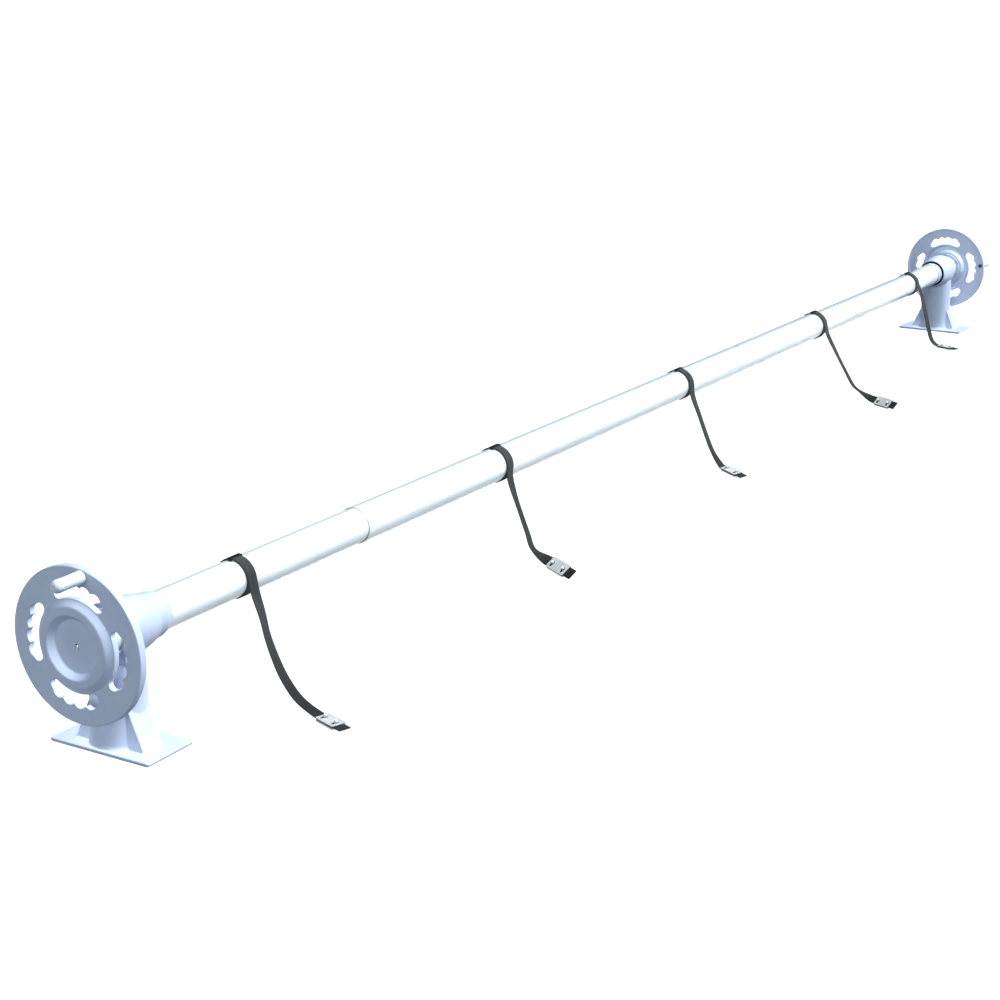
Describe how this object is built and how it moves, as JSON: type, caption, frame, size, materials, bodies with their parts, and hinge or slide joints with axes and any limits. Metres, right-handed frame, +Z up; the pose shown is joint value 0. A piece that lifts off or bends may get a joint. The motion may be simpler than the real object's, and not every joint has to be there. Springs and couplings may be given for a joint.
{
  "type": "pool cover reel",
  "caption": "Low telescopic pool-cover reel: tube between two stands with slotted handwheels and crank knobs, with webbing straps that end in clamp plates.",
  "frame": {"origin": "on the floor at the middle of the left stand's base, below the tube's axis", "axes": "+X along the tube from the left stand to the right stand, +Z up, -Y the side where the straps hang"},
  "size_m": [4.6212, 0.4531, 0.346],
  "materials": {
    "white_plastic": "moulded, semi-gloss, slightly cool white",
    "natural_nylon": "natural nylon, satin",
    "white_tube": "bright drawn tube with a clear white finish",
    "zinc_steel": "zinc plated",
    "dark_steel": "dark passivated",
    "black_rubber": "matt",
    "black_plastic": "moulded, matt",
    "webbing": "woven polyester webbing, dark grey",
    "milky_plastic": "translucent milky moulding"
  },
  "bodies": {
    "left_support": {"left_stand": "white_plastic", "left_bearing_bush": "natural_nylon", "left_seal_ring": "black_rubber"},
    "left_spool": {"left_tube": "white_tube", "left_collar": "white_plastic", "left_collar_screw_1": "zinc_steel", "left_collar_screw_2": "zinc_steel", "left_wheel": "white_plastic", "left_hub": "natural_nylon", "left_hub_screw_1": "zinc_steel", "left_hub_screw_2": "zinc_steel", "left_hub_screw_3": "zinc_steel", "left_wheel_screw": "dark_steel", "left_knob_washer": "zinc_steel", "left_knob_bolt": "dark_steel", "left_knob_nut": "dark_steel"},
    "left_grip": {"left_knob": "white_plastic"},
    "right_support": {"right_stand": "white_plastic", "right_bearing_bush": "natural_nylon", "right_seal_ring": "black_rubber"},
    "right_spool": {"right_tube": "white_tube", "right_collar": "white_plastic", "right_collar_screw_1": "zinc_steel", "right_collar_screw_2": "zinc_steel", "right_wheel": "white_plastic", "right_hub": "natural_nylon", "right_hub_screw_1": "zinc_steel", "right_hub_screw_2": "zinc_steel", "right_hub_screw_3": "zinc_steel", "right_wheel_screw": "dark_steel", "right_knob_washer": "zinc_steel", "right_knob_bolt": "dark_steel", "right_knob_nut": "dark_steel"},
    "right_grip": {"right_knob": "white_plastic"},
    "middle_section": {"middle_tube": "white_tube"},
    "hanging_strap_1": {"strap_1": "webbing", "strap_keeper_1": "black_plastic", "clamp_base_1": "milky_plastic"},
    "clip_1": {"clamp_cover_1": "milky_plastic"},
    "hanging_strap_2": {"strap_2": "webbing", "strap_keeper_2": "black_plastic", "clamp_base_2": "milky_plastic"},
    "clip_2": {"clamp_cover_2": "milky_plastic"},
    "hanging_strap_3": {"strap_3": "webbing", "strap_keeper_3": "black_plastic", "clamp_base_3": "milky_plastic"},
    "clip_3": {"clamp_cover_3": "milky_plastic"},
    "hanging_strap_4": {"strap_4": "webbing", "strap_keeper_4": "black_plastic", "clamp_base_4": "milky_plastic"},
    "clip_4": {"clamp_cover_4": "milky_plastic"},
    "hanging_strap_5": {"strap_5": "webbing", "strap_keeper_5": "black_plastic", "clamp_base_5": "milky_plastic"},
    "clip_5": {"clamp_cover_5": "milky_plastic"}
  },
  "joints": [
    {"name": "reel_spin", "type": "hinge", "parent": "left_support", "child": "left_spool", "pos_m": [0, 0, 0.206], "axis": [1, 0, 0], "continuous": true},
    {"name": "left_telescope", "type": "slide", "parent": "left_spool", "child": "middle_section", "axis": [1, 0, 0], "range_m": [-0.3, 0.6]},
    {"name": "right_telescope", "type": "slide", "parent": "middle_section", "child": "right_spool", "axis": [1, 0, 0], "range_m": [-0.3, 0.3]},
    {"name": "right_stand_turn", "type": "hinge", "parent": "right_spool", "child": "right_support", "pos_m": [4.3, 0, 0.206], "axis": [1, 0, 0], "continuous": true},
    {"name": "left_knob_spin", "type": "hinge", "parent": "left_spool", "child": "left_grip", "pos_m": [-0.13, -0.02223, 0.33205], "axis": [1, 0, 0], "continuous": true},
    {"name": "right_knob_spin", "type": "hinge", "parent": "right_spool", "child": "right_grip", "pos_m": [4.43, -0.12675, 0.22381], "axis": [1, 0, 0], "continuous": true},
    {"name": "strap_1_slip", "type": "hinge", "parent": "left_spool", "child": "hanging_strap_1", "pos_m": [0.3245, 0, 0.206], "axis": [1, 0, 0], "continuous": true},
    {"name": "strap_2_slip", "type": "hinge", "parent": "middle_section", "child": "hanging_strap_2", "pos_m": [1.2455, 0, 0.206], "axis": [1, 0, 0], "continuous": true},
    {"name": "strap_3_slip", "type": "hinge", "parent": "middle_section", "child": "hanging_strap_3", "pos_m": [2.181, 0, 0.206], "axis": [1, 0, 0], "continuous": true},
    {"name": "strap_4_slip", "type": "hinge", "parent": "middle_section", "child": "hanging_strap_4", "pos_m": [3.1245, 0, 0.206], "axis": [1, 0, 0], "continuous": true},
    {"name": "strap_5_slip", "type": "hinge", "parent": "right_spool", "child": "hanging_strap_5", "pos_m": [3.9695, 0, 0.206], "axis": [1, 0, 0], "continuous": true},
    {"name": "clip_1_lift", "type": "slide", "parent": "hanging_strap_1", "child": "clip_1", "axis": [0, 0, 1], "range_m": [0, 0.009]},
    {"name": "clip_2_lift", "type": "slide", "parent": "hanging_strap_2", "child": "clip_2", "axis": [-0.6133, 0.0532, 0.7881], "range_m": [0, 0.009]},
    {"name": "clip_3_lift", "type": "slide", "parent": "hanging_strap_3", "child": "clip_3", "axis": [-0.1127, -0.0829, 0.9902], "range_m": [0, 0.009]},
    {"name": "clip_4_lift", "type": "slide", "parent": "hanging_strap_4", "child": "clip_4", "axis": [-0.6066, 0.1717, 0.7763], "range_m": [0, 0.009]},
    {"name": "clip_5_lift", "type": "slide", "parent": "hanging_strap_5", "child": "clip_5", "axis": [0, 0, 1], "range_m": [0, 0.009]}
  ],
  "couplings": [
    {"joint": "right_stand_turn", "follows": "reel_spin", "ratio": -1},
    {"joint": "strap_1_slip", "follows": "reel_spin", "ratio": -1},
    {"joint": "strap_2_slip", "follows": "reel_spin", "ratio": -1},
    {"joint": "strap_3_slip", "follows": "reel_spin", "ratio": -1},
    {"joint": "strap_4_slip", "follows": "reel_spin", "ratio": -1},
    {"joint": "strap_5_slip", "follows": "reel_spin", "ratio": -1}
  ]
}
